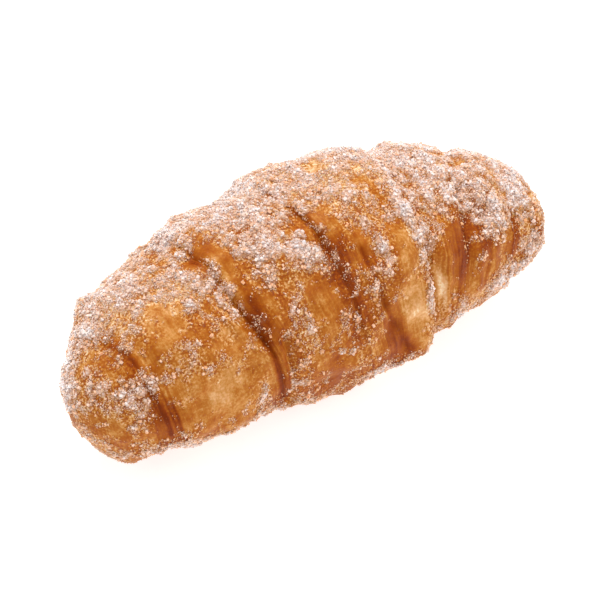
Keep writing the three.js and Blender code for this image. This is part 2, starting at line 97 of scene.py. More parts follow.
# Bulges and hollows: place, turn, half width along and round, height
LUMPS = (
    (-61, 142, 4.5, 9, 1.8), (-58.5, 139, 3, 5, 1.6), (-51, 142, 6, 9, -1), (-71, 168, 4, 8, 0.9),
    (22, 118, 3, 5, 0.8), (-33, 145, 6, 9, -1.2), (-12, 135, 6.5, 10, -2.6), (13, 134, 6, 9, -1.5),
    (47, 117, 3.6, 8, -1.9), (61.5, 118, 5.5, 9, 1.3), (72, 48, 4.5, 9, 1.7), (70, 0, 5, 9, 1),
    (-67, 158, 5, 8, -1), (-67, -62, 7, 10, 1.7), (-34, -32, 6, 8, 1.5), (-18, -47, 4, 7, -0.8),
    (1, -47, 5, 8, 0.9), (20, -26, 5.5, 9, 1.9), (43, -45, 7, 8, 0.7), (-9, -43, 5, 8, 0.6),
    (-56, -54, 5, 8, -0.8), (60, -24, 6, 9, -0.7), (-26, 140, 3, 7, 0.5), (-55, 68, 6, 7, 1.2),
    (-33, 93, 3, 4, -1.7), (-28, 42, 3.2, 8, -1.3), (-61.7, 86, 2.2, 2.6, -1), (-16, 62, 5, 6, 0.8),
    (3, 30, 3, 8, -1), (60, -60, 9, 16, -1), (67, 54, 2, 2, -0.9), (-40, 190, 9, 10, 1),
    (4, 205, 8, 9, 0.9), (44, 160, 6, 7, 0.8),
)
# Folds and creases: place and turn of both ends, half width, height
FOLDS = (
    (12, 98, 14, 34, 2.6, 1), (5.8, 48, 8.2, 18, 1.1, -1.2), (8.2, 18, 14.3, -14, 1.1, -1),
    (-21.9, 24, -20.6, -22, 1, -1.3), (-36, 56, -27.3, 19, 1, 0.6),
    (-60.4, 34, -58.8, -18, 1.1, -0.9), (31.7, 26, 29.5, -4, 1.3, 0.7), (49, 44, 45, 4, 1.6, -0.6),
    (64, 36, 65, 8, 1, -0.7), (-9, 228, -14, 178, 1.6, -0.9), (22, 150, 25, 205, 1.8, 0.8),
)
# Ripples: wave length, height, number of waves summed, and how their lengths and starts differ
RIPPLES = ((22, 0.5, 18), (9, 0.26, 24))
LEAST_WAVE, WAVE_SPREAD, WAVE_START = 0.7, 0.6, 2.4
GOLDEN_ANGLE = math.pi * (3 - math.sqrt(5))
GOLDEN_SHARE = (math.sqrt(5) - 1) / 2


def smooth(value):
    """0 to 1 with a soft start and end."""
    t = np.clip(value, 0, 1)
    return t * t * (3 - 2 * t)


def bell(away, width):
    """A bell curve over a distance: 1 at none, and near 0 from two widths on."""
    return np.exp(-((away / width) ** 2))


def turn_between(a, b):
    """Difference of two turns, between -180 and 180 degrees."""
    return (a - b + 180) % 360 - 180


def at_tip(x, values):
    """The near tip's value where x is negative, and the far tip's elsewhere."""
    return np.where(x < 0, values[0], values[1])


def winding_share(turn):
    """Share of its slant that an edge has gone through: it rises evenly from the base over the
    top to the back, and falls back to 0 under the roll."""
    from_base = (turn + 90) % 360
    under = (from_base - RETURN_BEGINS) % 360
    rising = np.clip((from_base - SLANT_BEGINS) / (SLANT_ENDS - SLANT_BEGINS), 0, 1)
    return np.where(under <= RETURN_LENGTH, 1 - smooth(under / RETURN_LENGTH), rising)


def lower_front(turn):
    """A bell curve over the turns where the roll curls in to its base."""
    return bell(turn_between(turn, LOWER_FRONT), LOWER_FRONT_WIDTH)


def body_radius(x):
    """Radius of the roll without lips: it falls with a power of the distance from the middle."""
    return BODY_RADIUS * (1 - at_tip(x, TIP_TAPER) * np.abs(x / HALF) ** at_tip(x, TIP_POWER))


def cap_share(x):
    """Share of the radius left where a tip closes, as a quarter of a rounded-off circle."""
    cap = at_tip(x, TIP_CAP)
    into = np.clip((np.abs(x) - (HALF - cap)) / cap, 0, 1)
    return np.sqrt(np.clip(1 - into ** CAP_POWER, 0, 1))


def edge_places(turn):
    """Place along the roll of both tips and of each edge: its start, moved along by its slant,
    an S-bend and a small wander."""
    share = winding_share(turn)
    places = [np.full_like(share, -HALF)]
    for start, slant, bend, _, _, _, faces in EDGES:
        wander = EDGE_WANDER * np.sin(EDGE_WANDERS * np.radians(turn) + start)
        way = slant * share + bend * np.sin(2 * np.pi * share)
        places.append(start - faces * way + wander * np.sin(np.pi * share))
    return np.stack([*places, np.full_like(share, HALF)])


def faded_shares(turn):
    """How much of each edge has faded out: a bell curve over the turns of the lower front."""
    share = bell(turn_between(turn, FADE_MIDDLE), FADE_WIDTH)
    return np.stack([0 * share, *(fade * share for fade in EDGES[:, 5]), 0 * share])


def lip_heights(turn):
    """Height of each edge's lip, from its front to its back value and a little uneven."""
    behind = smooth((winding_share(turn) - FRONT_ENDS) / (BACK_BEGINS - FRONT_ENDS))
    heights = [np.zeros_like(behind)]
    for start, _, _, front, back, _, _ in EDGES:
        uneven = 1 + LIP_UNEVEN * np.sin(LIP_CHANGES * np.radians(turn) + 2 * start)
        heights.append((front + (back - front) * behind) * uneven)
    return np.stack([*heights, np.zeros_like(behind)]) * (1 - faded_shares(turn))


FACES = np.array((0, *EDGES[:, 6], 0))


def pick(table, index):
    """The table's row that index names, at each point."""
    return np.take_along_axis(table, index[None], 0)[0]


def wrap_radius(wrap, x, turn):
    """Radius of a wrap's skin: the body's, less a round-off at its own lips and a dip under the
    lips of its neighbours, both falling off exponentially with the distance from the edge. Where
    an edge has faded out, the swells of its two wraps blend."""
    edges, lips, faded = edge_places(turn), lip_heights(turn), faded_shares(turn)
    swells = np.stack([swell - tuck * lower_front(turn) for swell, tuck in zip(SWELL, TUCK)])
    own_swell = pick(swells, wrap)
    radius = body_radius(x) + own_swell
    for side, own in ((0, 1), (1, -1)):
        away = np.clip((x - pick(edges, wrap + side)) * own, 0, None)
        lip, faces = pick(lips, wrap + side), FACES[wrap + side]
        drop = LIP_DROP_SHARE * lip * np.exp(-away / LIP_ROUND)
        dip = lip * np.exp(-((away / GROOVE_WIDTH) ** GROOVE_POWER))
        radius -= np.where(faces == own, drop, np.where(faces == -own, dip, 0))
        beside = pick(swells, np.clip(wrap - own, 0, len(SWELL) - 1))
        merged = pick(faded, wrap + side) * np.exp(-away / MERGE_LENGTH) / 2
        radius += (beside - own_swell) * merged
    return radius * cap_share(x)


def spots(rows, x, turn):
    """Sum of soft spots, each its amount times a bell curve over its two half widths."""
    total = np.zeros(np.broadcast(x, turn).shape)
    for at, spot_turn, along, round_way, amount in rows:
        way = np.radians(turn_between(turn, spot_turn)) * body_radius(at) / round_way
        total += amount * np.exp(-(((x - at) / along) ** 2) - way**2)
    return total


def creases(rows, x, turn):
    """Sum of lines, each its amount times a bell curve over the distance from the line."""
    total = np.zeros(np.broadcast(x, turn).shape)
    for from_x, from_turn, to_x, to_turn, width, amount in rows:
        radius = body_radius(from_x)
        end_x, end_y = to_x - from_x, math.radians(to_turn - from_turn) * radius
        point_x, point_y = x - from_x, np.radians(turn_between(turn, from_turn)) * radius
        length = math.hypot(end_x, end_y)
        along = (point_x * end_x + point_y * end_y) / length
        across = (point_x * end_y - point_y * end_x) / length
        beyond = np.maximum(0, np.maximum(-along, along - length))
        total += amount * np.exp(-((across / width) ** 2) - (beyond / (2 * width)) ** 2)
    return total


def ripples(points):
    """Sum of plane waves whose directions are spread evenly by the golden angle."""
    total = 0
    for length, height, waves in RIPPLES:
        for i in range(waves):
            up = 1 - (2 * i + 1) / waves
            level = math.sqrt(1 - up * up)
            way = (level * math.cos(i * GOLDEN_ANGLE), level * math.sin(i * GOLDEN_ANGLE), up)
            wave = length * (LEAST_WAVE + WAVE_SPREAD * ((i * GOLDEN_SHARE) % 1))
            swing = np.sin(2 * np.pi * (points @ np.array(way)) / wave + WAVE_START * i * i)
            total += height * swing / math.sqrt(waves / 2)
    return total


def place(x, radius, turn):
    """Point at a radius and turn round the bowed centre line, which lifts towards the tips."""
    t = x / HALF
    across = BOW * t**2 + SLANT * t + TWIST * t**3 - radius * np.cos(np.radians(turn))
    centre = body_radius(x) * HEIGHT_SHARE * CENTRE_HEIGHT_SHARE
    centre += at_tip(x, TIP_LIFT) * np.abs(t) ** 3
    return np.stack([x, across, centre + radius * HEIGHT_SHARE * np.sin(np.radians(turn))], -1)


def skin(x, turn, radius, extra=0):
    """The dough's skin: its radius, with lumps, creases, ripples and any extra relief."""
    relief = spots(LUMPS, x, turn) + creases(FOLDS, x, turn) + ripples(place(x, radius, turn))
    return place(x, radius + relief * cap_share(x) + extra, turn)


# The mean of all mottles and noises
PATTERN_MEAN = 0.5
LATTICE = np.random.default_rng(11).random((48, 48, 48))
LATTICE_TURN = np.linalg.qr(np.random.default_rng(5).normal(size=(3, 3)))[0]


def mottle(points, size, shift=0.0):
    """Random values on a lattice of this spacing, blended smoothly in between: 0 to 1."""
    grid = points @ LATTICE_TURN / size + shift
    cell = np.floor(grid).astype(int)
    part = smooth(grid - cell)
    total = 0
    for corner in np.ndindex(2, 2, 2):
        at = (cell + corner) % len(LATTICE)
        weight = np.where(corner, part, 1 - part).prod(-1)
        total += weight * LATTICE[at[..., 0], at[..., 1], at[..., 2]]
    return total


def mottles(points, parts, less=0.0):
    """Sum of mottles, each given as its share, size and shift, and less this value."""
    return sum(share * (mottle(points, size, shift) - less) for share, size, shift in parts)


# Rows of the grid: along each wrap from edge to edge, and up the step to each lip, which is
# drawn out and hangs over a little. Lists, one entry a row: place, radius, wrap, and the share
# of a step that lies below, or -1 off the steps
turns = 360 * np.arange(COLUMNS) / COLUMNS - 90
edges_here = edge_places(turns)
row_x, row_radius, row_wrap, row_wall = [], [], [], []
next_x = edges_here[0]
for wrap, count in enumerate(ROWS):
    steps = np.arange(count) / (count - 1)
    if wrap == 0:
        steps = 1 - np.cos(np.pi / 2 * (np.arange(count) + 1) / count)
    if wrap == len(ROWS) - 1:
        steps = np.sin(np.pi / 2 * np.arange(count) / count)
    from_x, to_x = next_x, edges_here[wrap + 1]
    if wrap < len(ROWS) - 1:
        to_x = to_x - STEP_SOFT[wrap] * (1 if FACES[wrap + 1] > 0 else STEP_ON_LIP)
    for step in steps:
        x = from_x + (to_x - from_x) * step
        row_x.append(x)
        row_radius.append(wrap_radius(np.full(COLUMNS, wrap), x, turns))
        row_wrap.append(wrap + step)
        row_wall.append(-1.0)
    if wrap == len(ROWS) - 1:
        continue
    faces = FACES[wrap + 1]
    next_x = edges_here[wrap + 1] + STEP_SOFT[wrap] * (STEP_ON_LIP if faces > 0 else 1)
    here = wrap_radius(np.full(COLUMNS, wrap), to_x, turns)
    beyond = wrap_radius(np.full(COLUMNS, wrap + 1), next_x, turns)
    for row in range(1, WALL_ROWS):
        share = row / WALL_ROWS
        overhang = LIP_OVERHANG * np.abs(beyond - here) * math.sin(math.pi * share)
        row_x.append(to_x + (next_x - to_x) * share - faces * overhang)
        row_radius.append(here + (beyond - here) * (1 - math.cos(math.pi * share)) / 2)
        row_wrap.append(wrap + 1.0)
        row_wall.append(share if faces > 0 else 1 - share)
row_x, row_radius = np.array(row_x), np.array(row_radius)
row_turn = np.broadcast_to(turns, row_x.shape)
row_wrap, row_wall = np.array(row_wrap)[:, None], np.array(row_wall)[:, None]
base = place(row_x, row_radius, row_turn)

# Layer place in millimetres, the mean way from row to row: its lines run along the wraps. The
# stripes are mottles of two sizes, drawn out along those lines
STRIPE_STRETCH = 14
STRIPE_MOTTLES = ((0.6, 0.9, 0.0), (0.4, 2.1, 7.3))
row_ways = np.hypot(np.diff(row_x, axis=0), np.diff(row_radius, axis=0)).mean(1)
layer = np.concatenate([[0], np.cumsum(row_ways)])[:, None] + 0 * row_x
along_layers = np.concatenate([layer[..., None], base[..., 1:] / STRIPE_STRETCH], -1)
stripes = mottles(along_layers, STRIPE_MOTTLES)

# Distance from the nearest edge, on its groove's side and on its lip's side, and how near a
# point on a step is to the step's foot
FAR = 99.0
wrap_index = np.clip(np.floor(row_wrap + 0 * row_x), 0, len(ROWS) - 1).astype(int)
groove_away, lip_away = np.full(row_x.shape, FAR), np.full(row_x.shape, FAR)
for side, own in ((0, 1), (1, -1)):
    away = np.abs(row_x - pick(edges_here[:, None] + 0 * row_x[None], wrap_index + side))
    faces = FACES[wrap_index + side]
    groove_away = np.where((faces == -own) & (away < groove_away), away, groove_away)
    lip_away = np.where((faces == own) & (away < lip_away), away, lip_away)
wall_foot = np.where(row_wall >= 0, 1 - row_wall, 0)

# Turns over which the coat of sugar thickens above the front and thins out behind, its least and
# what the top adds, and large bare stretches and heavy patches: place, turn, half widths, amount.
# The solid's clumps follow all these too
FRONT_RISE, BACK_FALL = (30, 125), (128, 205)
SUGAR_LEAST, SUGAR_ON_TOP = 0.18, 0.64
SUGAR_PATCHES = (
    (-70, 98, 4, 8, -0.38), (-63, 76, 5, 8, -0.78), (-60, 164, 6, 8, -0.3), (-58, 2, 3, 12, -0.35),
    (-55, -24, 9, 5, 0.45), (-54, 58, 4.5, 6, -0.45), (-43, -30, 9, 4, 0.4),
    (-42, 12, 11, 13, -0.5), (-41, 110, 4, 6, -0.55), (-40, -9, 9, 7, -0.25),
    (-33.4, 88, 3.6, 4.4, -1.1), (-30, 152, 7, 9, -0.35), (-28.8, 88, 3.4, 10, -0.95),
    (-25, 10, 4, 16, -0.45), (-14, 94, 5, 7, 0.4), (-9, -13, 6, 6, -0.45), (-8, 58, 5, 5, 0.95),
    (-7, 30, 6, 10, -0.4), (0, 78, 4, 9, -0.42), (6, 160, 8, 9, -0.35), (9, -11, 5, 8, -0.3),
    (12, -26, 9, 5, 0.7), (12, -8, 5, 12, -0.45), (19, 6, 3.6, 14, -0.55), (20, 88, 4.4, 7, -0.75),
    (22, 112, 6, 6, 0.55), (23.4, 28, 1.5, 20, 0.4), (24, 64, 2.4, 12, 0.45), (30, 76, 4, 9, 0.35),
    (36, 22, 4.5, 14, -0.45), (37, 80, 4, 8, 0.4), (38, -20, 5, 5, 0.5), (38, 150, 6, 9, -0.3),
    (41, 2, 4, 9, -0.4), (46, 16, 4, 10, -0.35), (48, 64, 3.6, 8, 0.52), (58, 13, 5, 5, -0.6),
    (58, -14, 8, 5, 0.5), (60, 160, 5, 8, -0.3), (65, 64, 3.6, 7, 0.65),
)
# Smaller ones, in the same way
SUGAR_SPOTS = (
    (-72, 76, 3, 6, 0.22), (-70, 10, 4, 12, -0.3), (-70, 64, 3, 7, 0.28), (-68, 92, 3, 5, -0.3),
    (-67, 40, 3.4, 6, 0.42), (-66, 36, 2.6, 5, 0.2), (-66, 56, 4, 6, -0.35), (-65, 62, 3, 8, 0.15),
    (-63, 124, 3, 5, -0.3), (-62.5, 42, 2.6, 10, 0.2), (-62, 40, 2.2, 8, 0.3),
    (-61.8, 84, 1.8, 12, 0.4), (-60, -8, 8, 6, -0.2), (-60, 57, 4, 5, -0.25),
    (-60, 92, 4, 6, -0.15), (-59, 84, 3, 4, -0.22), (-56, 71, 1.3, 4, 0.5), (-55, 23, 3, 5, -0.35),
    (-55, 33, 1.8, 2, 0.35), (-54, 84, 4, 5, -0.22), (-50, 119, 4, 5, -0.4),
    (-50, 190, 7, 7, -0.35), (-49, 104, 4, 6, 0.35), (-48, 69, 3, 6, -0.6),
    (-47, 44, 2.4, 2.4, 0.35), (-47, 84, 3, 4, -0.3), (-45, 200, 6, 5, 0.25),
    (-44, 28, 2, 2.6, 0.7), (-44, 33, 2.4, 4, 0.2), (-44, 82, 5, 5, -0.2), (-42, 20, 2, 2, 0.3),
    (-40, 134, 4, 6, -0.3), (-38, 88, 2, 6, 0.15), (-36, 59, 3, 4, -0.4), (-36, 72, 2.4, 3, 0.35),
    (-36, 106, 4, 5, -0.42), (-35, 118, 4, 4, 0.25), (-33, 98, 4, 3, 0.2), (-32, 116, 5, 5, 0.45),
    (-31.5, 60, 2.2, 8, 0.35), (-31, 44, 3, 5, -0.35), (-30, -4, 2.2, 5, 0.5),
    (-27, 42, 2.6, 5, -0.3), (-26, -24, 6, 4, 0.35), (-24, 58, 3.6, 7, -0.35), (-24, 92, 3, 6, 0.3),
    (-22, 67, 3, 4, 0.25), (-20, -4, 2.4, 5, 0.4), (-19, 96, 3, 4, 0.2), (-18, 58, 3, 4, -0.22),
    (-18, 71, 3.4, 4, 0.5), (-18, 119, 4, 4, 0.3), (-18, 186, 6, 8, -0.4), (-17, 27, 2.6, 9, 0.5),
    (-15, 67, 5, 5, 0.35), (-14, 178, 6, 6, 0.3), (-12, 6, 4, 8, -0.3), (-12, 44, 5, 5, -0.3),
    (-6, 20, 2.4, 3, 0.25), (-6, 68, 3.4, 4, -0.6), (-6, 94, 4, 6, -0.25), (-4, 49, 2.4, 5, 0.35),
    (-1, 44, 2.6, 7, -0.22), (-1, 60, 2.4, 4, 0.15), (0.5, 67, 2.4, 5, -0.4), (1, 104, 4, 6, -0.2),
    (2, 136, 4, 5, -0.3), (4, 100, 3, 5, 0.3), (6, 46, 3, 4, -0.3), (6, 66, 3.5, 9, -0.3),
    (6.5, 30, 2.4, 5, 0.4), (8, 95, 3, 4, 0.05), (9.5, 103, 4, 5, -0.45), (12, 15, 3, 8, -0.2),
    (12, 44, 2.6, 5, 0.35), (12, 58, 4, 4, -0.35), (12, 70, 3, 4, -0.35), (12, 76, 3, 4, 0.35),
    (12, 94, 4, 6, -0.42), (18, 44, 3, 6, -0.4), (18, 70, 3, 8, -0.2), (20, 178, 6, 7, -0.35),
    (24, 184, 5, 6, 0.3), (26, 112, 3, 5, 0.25), (26.5, 36, 2.4, 8, 0.35), (29, 14, 3, 10, -0.35),
    (30, 48, 2.4, 6, 0.05), (30, 95, 3, 5, -0.3), (30, 128, 3, 5, -0.3), (30.5, 74, 3, 6, -0.3),
    (32, 50, 2.4, 6, -0.25), (36, 57, 3, 4, 0.3), (36, 62, 3.4, 6, 0.1), (37, 40, 3, 4, -0.25),
    (42, 58, 2.4, 6, 0.12), (42, 76, 3, 5, 0.3), (42, 104, 4, 6, 0.25), (44, 98, 4, 5, -0.25),
    (48, 86, 3, 4, -0.3), (49, 36, 2.4, 3.6, 0.45), (50, 182, 6, 7, -0.35), (51.5, 34, 2.4, 4, 0.6),
    (52, -9, 5, 5, 0.4), (53, 48, 3, 4, 0.5), (54, 46, 3, 5, 0.35), (54, 81, 3.6, 6, 0.5),
    (54, 95, 3.6, 5, -0.75), (55, 77, 2.4, 4, 0.3), (56, 56, 2.4, 4, -0.3), (57, 94, 4, 5, -0.25),
    (58, 35, 2.4, 5, -0.25), (58, 72, 2.6, 5, -0.6), (60, 20, 3.2, 5, 0.4), (60, 56, 3.4, 6, 0.45),
    (64, 34, 3, 8, 0.2), (65, 18, 2.4, 6, 0.32), (66, -2, 4, 4, 0.6), (66, 33, 2.4, 3, -0.3),
    (66, 43, 2, 4, 0.5), (68, 24, 2.4, 5, -0.3), (68, 55, 2, 2.4, -0.9), (70, 80, 4, 8, 0.3),
)


def between(turn, rise, fall):
    """1 between two stretches of turns: it rises softly over the first, from 0, and falls over
    the second, back to 0."""
    rising = smooth((turn - rise[0]) / (rise[1] - rise[0]))
    return rising * (1 - smooth((turn - fall[0]) / (fall[1] - fall[0])))


def sugar_share(x, turn):
    """Share of sugar: little in front, most on top, and the amounts of the large patches."""
    upness = between(turn, FRONT_RISE, BACK_FALL)
    return SUGAR_LEAST + SUGAR_ON_TOP * upness + spots(SUGAR_PATCHES, x, turn)


# The coat of sugar, from 0 to about 1. It is patchy, fills the grooves on top and catches on the
# lips. Hardly any lies under the roll, and the fat kept it off the grooves behind, which are
# browner and darkened by painted shade
UNDER_FROM, UNDER_RANGE, UNDER_LOSS = 0.55, 0.3, 0.9
PATCHY_MOTTLES = ((0.24, 5.5, 0.0), (0.30, 2.6, 3.1), (0.46, 1.5, 9.7))
PATCH_CONTRAST, COVER_MOST = 2.4, 1.2
GROOVE_WIDE, LIP_WIDE = 2.6, 1.3
FILLED_RISE, FILLED_FALL, FILLED = (48, 82), (200, 230), 0.1
LIP_FROM, LIP_RANGE, LIP_CATCH = 10, 40, 0.3
BEHIND_RISE, BEHIND_FALL, BARE_BEHIND = (128, 150), (222, 242), 0.55
under_side = smooth((-np.sin(np.radians(row_turn)) - UNDER_FROM) / UNDER_RANGE)
sugar_wish = sugar_share(row_x, row_turn) + spots(SUGAR_SPOTS, row_x, row_turn)
sugar_wish *= 1 - UNDER_LOSS * under_side
patchy = mottles(base, PATCHY_MOTTLES) - PATTERN_MEAN
in_groove = bell(groove_away, GROOVE_WIDE) * (groove_away < FAR)
filled = in_groove * between(row_turn, FILLED_RISE, FILLED_FALL)
on_lip = bell(lip_away, LIP_WIDE) * smooth((row_turn - LIP_FROM) / LIP_RANGE)
behind = between(row_turn, BEHIND_RISE, BEHIND_FALL)
cover = sugar_wish + FILLED * filled + LIP_CATCH * on_lip - BARE_BEHIND * behind * in_groove
cover = np.clip(cover + PATCH_CONTRAST * patchy, 0, COVER_MOST)
# Where crumbs and single grains speckle the dough: not where it is stretched smooth
SPECKLE_PATCHES, SPECKLE_MORE, SPECKLE_RANGE = 1.4, 0.24, 0.55
SPECKLE_GROOVE, SPECKLE_FROM, SPECKLE_RISE = 0.8, 5, 25
speckled = smooth((sugar_wish + SPECKLE_PATCHES * patchy + SPECKLE_MORE) / SPECKLE_RANGE)
groove_specks = SPECKLE_GROOVE * in_groove * smooth((row_turn - SPECKLE_FROM) / SPECKLE_RISE)
speckled = np.maximum(speckled, groove_specks)

# Clumps of caked sugar on the skin, by the rule that also spreads them over the solid: the
# first are the widest, and none lies on an edge, on a fold or next to another
CLUMPS, CLUMP_TRIALS = 112, 4000
CLUMP_WIDEST, CLUMP_NARROWEST, CLUMP_SUNK = 3.4, 2.2, 0.25
SUGAR_FROM, SUGAR_TO, SUGAR_ENDS = -42, 222, 71
CHANCE_FROM, CHANCE_RANGE = 0.32, 0.4


def halton(count, digits):
    """Fractions that fill 0 to 1 evenly: each number's digits, mirrored behind the point."""
    rest, result, share = np.arange(1, count + 1), np.zeros(count), 1 / digits
    while rest.any():
        result, rest, share = result + share * (rest % digits), rest // digits, share / digits
    return result


trial_x = SUGAR_ENDS * (2 * halton(CLUMP_TRIALS, 2) - 1)
trial_turn = SUGAR_FROM + (SUGAR_TO - SUGAR_FROM) * halton(CLUMP_TRIALS, 3)
trial_edges = edge_places(trial_turn)
trial_wrap = np.clip((trial_edges < trial_x).sum(0) - 1, 0, len(ROWS) - 1)
trial_point = skin(trial_x, trial_turn, wrap_radius(trial_wrap, trial_x, trial_turn))
chance = smooth((sugar_share(trial_x, trial_turn) - CHANCE_FROM) / CHANCE_RANGE)
allowed = halton(CLUMP_TRIALS, 5) <= chance * body_radius(trial_x) / BODY_RADIUS
allowed &= np.abs(trial_edges - trial_x).min(0) >= CLUMP_WIDEST
allowed &= np.abs(creases(FOLDS, trial_x, trial_turn)) <= CLUMP_SUNK
clump_at = []
for trial in np.flatnonzero(allowed):
    gaps = np.linalg.norm(trial_point[clump_at] - trial_point[trial], axis=1)
    if len(clump_at) < CLUMPS and (gaps >= CLUMP_WIDEST).all():
        clump_at.append(trial)

# The clumps' relief: soft humps with ragged outlines, a little lower than the solid's blocks
# because crystals lie on them, and coated by this much
CLUMP_HEIGHT, CLUMP_LOWER, CLUMP_REACH = 0.31, 0.7, 1.3
RAGGED_LEAST, RAGGED_RANGE = 0.45, 1.1
RAGGED_MOTTLES = ((0.5, 1.8, 5.5), (0.5, 0.9, 2.9))
CLUMP_COATED_AT, CLUMP_COAT = 0.4, 0.85
clump_rise = np.zeros(row_x.shape)
ragged = RAGGED_LEAST + RAGGED_RANGE * mottles(base, RAGGED_MOTTLES)
for order, trial in enumerate(clump_at):
    width = CLUMP_WIDEST + (CLUMP_NARROWEST - CLUMP_WIDEST) * order / CLUMPS
    away = np.linalg.norm(base - trial_point[trial], axis=-1) / (0.5 * width) * ragged
    top = CLUMP_LOWER * (CLUMP_HEIGHT * width - CLUMP_SUNK)
    clump_rise = np.maximum(clump_rise, top * smooth(CLUMP_REACH - away))
cover = np.maximum(cover, smooth(clump_rise / CLUMP_COATED_AT) * CLUMP_COAT)

# Fine relief of the skin in millimetres: blisters, stripes of the dough's layers, deepest in the
# grooves, pebbles, and the lumpy crust of sugar. The skin as a whole lies a little lower for it
BLISTERS = ((0.44, 5, 1.7), (0.36, 2.4, 5.9))
STRIPE_DEPTH, GROOVE_STRIPE_DEPTH, GROOVE_STRIPES_WIDE = 0.12, 0.34, 5
CRUST_HEIGHT, CRUST_FROM, CRUST_RANGE = 0.42, 0.2, 0.7
CRUST_LEAST, CRUST_LUMPS, LUMPS_FROM, LUMPS_RANGE = 0.1, 1.8, 0.2, 0.6
LUMP_MOTTLES = ((0.5, 2.0, 4.4), (0.5, 1.25, 6.1))
PEBBLES, PEBBLES_ON_DOUGH = ((0.3, 1.1, 8.1),), 0.3
SKIN_LOWER, FADE_AT_TIPS = 0.15, 2
blisters = mottles(base, BLISTERS, PATTERN_MEAN)
striping = STRIPE_DEPTH + GROOVE_STRIPE_DEPTH * bell(groove_away, GROOVE_STRIPES_WIDE)
lumpy = smooth((mottles(base, LUMP_MOTTLES) - LUMPS_FROM) / LUMPS_RANGE)
crust = CRUST_HEIGHT * smooth((cover - CRUST_FROM) / CRUST_RANGE)
crust = crust * (CRUST_LEAST + CRUST_LUMPS * lumpy) + clump_rise
pebbles = mottles(base, PEBBLES, PATTERN_MEAN) * smooth(PEBBLES_ON_DOUGH + cover)
relief = blisters + pebbles + striping * (stripes - PATTERN_MEAN) * 2 + crust
extra = relief * np.minimum(1, cap_share(row_x) * FADE_AT_TIPS) - SKIN_LOWER
# Both ends are closed by a pole, and what would sink below the floor is flattened on it
points = skin(row_x, row_turn, row_radius, extra) + (0, AXIS_BACK, 0)
poles = place(np.array((-HALF, HALF)), 0, 0) + (0, AXIS_BACK, 0)
dough_points = np.concatenate([points.reshape(-1, 3), poles])
dough_points[:, 2] = np.maximum(dough_points[:, 2], 0)


def grid_faces(rows, columns):
    """Quads between neighbouring rows of a grid that closes round its columns, faces outward."""
    row_start = np.arange(rows - 1)[:, None] * columns
    first = (row_start + np.arange(columns)).ravel()
    following = (row_start + (np.arange(columns) + 1) % columns).ravel()
    return np.stack([first, first + columns, following + columns, following], -1)


def fan_faces(ring, pole, forward):
    """Triangles from a ring of points to a pole."""
    following = np.roll(ring, -1)
    pair = (ring, following) if forward else (following, ring)
    return np.stack([np.full(len(ring), pole), *pair], -1)


def add_mesh(name, points, face_arrays, attributes, shade_smooth):
    """A mesh object from points in millimetres, faces as arrays of equal-sided faces, and one
    number for each point under each attribute's name. Its place is in its mesh."""
    mesh = bpy.data.meshes.new(name)
    mesh.vertices.add(len(points))
    mesh.vertices.foreach_set("co", (points * MM).astype(np.float32).ravel())
    corners = np.concatenate([faces.ravel() for faces in face_arrays])
    sides = np.concatenate([np.full(len(faces), faces.shape[1]) for faces in face_arrays])
    mesh.loops.add(len(corners))
    mesh.loops.foreach_set("vertex_index", corners.astype(np.int32))
    mesh.polygons.add(len(sides))
    mesh.polygons.foreach_set("loop_start", (np.cumsum(sides) - sides).astype(np.int32))
    mesh.polygons.foreach_set("use_smooth", np.full(len(sides), shade_smooth))
    mesh.update(calc_edges=True)
    for label, values in attributes.items():
        attribute = mesh.attributes.new(label, "FLOAT", "POINT")
        attribute.data.foreach_set("value", values.astype(np.float32).ravel())
    piece = bpy.data.objects.new(name, mesh)
    bpy.context.scene.collection.objects.link(piece)
    return piece


# Browner and paler stretches of the skin, one of them a painted highlight: place, turn, half
# widths, amount
BROWN_SPOTS = (
    (-63, 72, 2.4, 12, 0.08), (-62, 22, 2.6, 5, 0.08), (-57.5, 6, 2.8, 12, 0.22),
    (-55, 20, 3, 5, 0.1), (-55, 53, 3.5, 3.5, 0.06), (-48, 68, 3, 5, 0.1), (-41, 52, 4, 5, 0.1),
    (-40, -8, 10, 8, 0.05), (-33.5, 88, 3.2, 4.5, 0.34), (-28.5, -22, 2.4, 4, 0.12),
    (-28, 90, 3, 8, 0.14), (-27, 40, 2.4, 6, 0.36), (-24, 0, 2.6, 14, 0.12), (-14, -12, 8, 6, 0.08),
    (-5.5, -25, 3, 5, 0.1), (-5, 35, 6, 10, 0.05), (-1, 42, 4, 14, 0.1), (-1, 44, 3, 11, 0.34),
    (5, 40, 4, 8, 0.16), (5, 60, 4, 7, 0.12), (9, 37, 4, 4, 0.08), (11, -12, 5, 9, 0.22),
    (11, 12, 2.2, 6, 0.1), (16, 46, 5, 9, 0.1), (17, 90, 3, 5, 0.14), (34, 2, 4, 10, 0.04),
    (39, 30, 4, 11, 0.17), (41, -5, 4, 8, 0.1), (45, 32, 3, 6, 0.16), (46, 20, 5, 12, 0.14),
    (47, 8, 5, 14, 0.06), (57, 26, 2.4, 10, 0.2), (58, 33, 2.4, 6, 0.12), (66, 18, 2.4, 6, 0.15),
    (67.5, 22, 2.4, 5, 0.26), (67.5, 55, 1.6, 1.6, 0.4),
)
# The wide pale spot at the far tip, at (62, 32), is a painted highlight that lightens the far end
PALE_AND_HIGHLIGHT_SPOTS = (
    (-57, 88, 4, 5, 0.1), (-41, 8, 9, 14, 0.12), (-31.5, 58, 2.4, 8, 0.1), (-15, 66, 6, 6, 0.1),
    (-13, 72, 2, 3, 0.06), (17.5, 18, 3.2, 9, 0.2), (29, -22, 3, 8, 0.2), (62, 32, 9, 30, 0.07),
    (66, 36, 4, 5, 0.14), (70, 45, 4, 24, 0.08),
)
